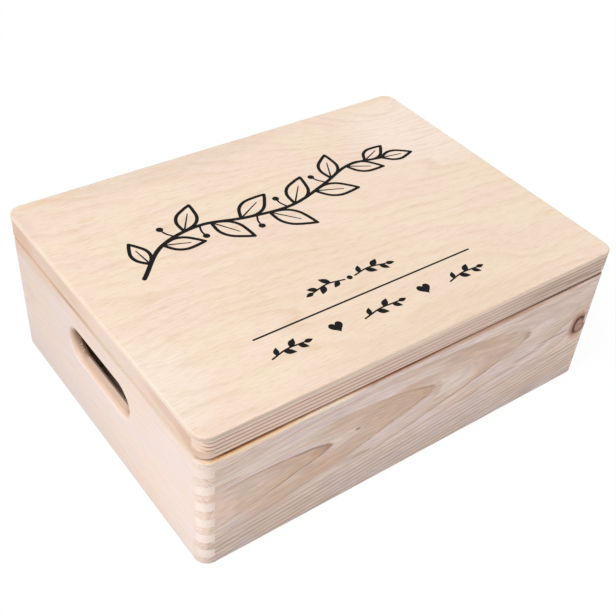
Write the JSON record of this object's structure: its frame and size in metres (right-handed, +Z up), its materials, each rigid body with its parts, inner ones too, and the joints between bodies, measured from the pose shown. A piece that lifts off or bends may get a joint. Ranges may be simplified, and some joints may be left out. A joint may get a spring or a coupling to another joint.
{
  "type": "keepsake box",
  "caption": "Pine box with finger-jointed rounded corners, hand holes in the short walls and a plywood-topped lid on back hinges",
  "frame": {"origin": "centre of the footprint, on the floor under the walls", "axes": "+X along the length, towards the right hand hole; +Y towards the hinges at the back; +Z up"},
  "size_m": [0.4, 0.3, 0.138],
  "materials": {
    "pine": "sanded, raw",
    "plywood": "sanded, raw",
    "hinge_steel": "satin"
  },
  "bodies": {
    "box": {"front_wall": "pine", "back_wall": "pine", "left_wall": "pine", "right_wall": "pine", "bottom_panel": "plywood", "left_hinge_body_leaf": "hinge_steel", "right_hinge_body_leaf": "hinge_steel", "left_hinge_pin": "hinge_steel", "right_hinge_pin": "hinge_steel"},
    "lid": {"lid_panel": "plywood", "lid_front_rail": "pine", "lid_back_rail": "pine", "lid_left_rail": "pine", "lid_right_rail": "pine", "left_hinge_lid_leaf": "hinge_steel", "right_hinge_lid_leaf": "hinge_steel"}
  },
  "joints": [
    {"name": "lid_hinge", "type": "hinge", "parent": "box", "child": "lid", "pos_m": [0, 0.1485, 0.11575], "axis": [-1, 0, 0], "range_deg": [0, 95]}
  ]
}
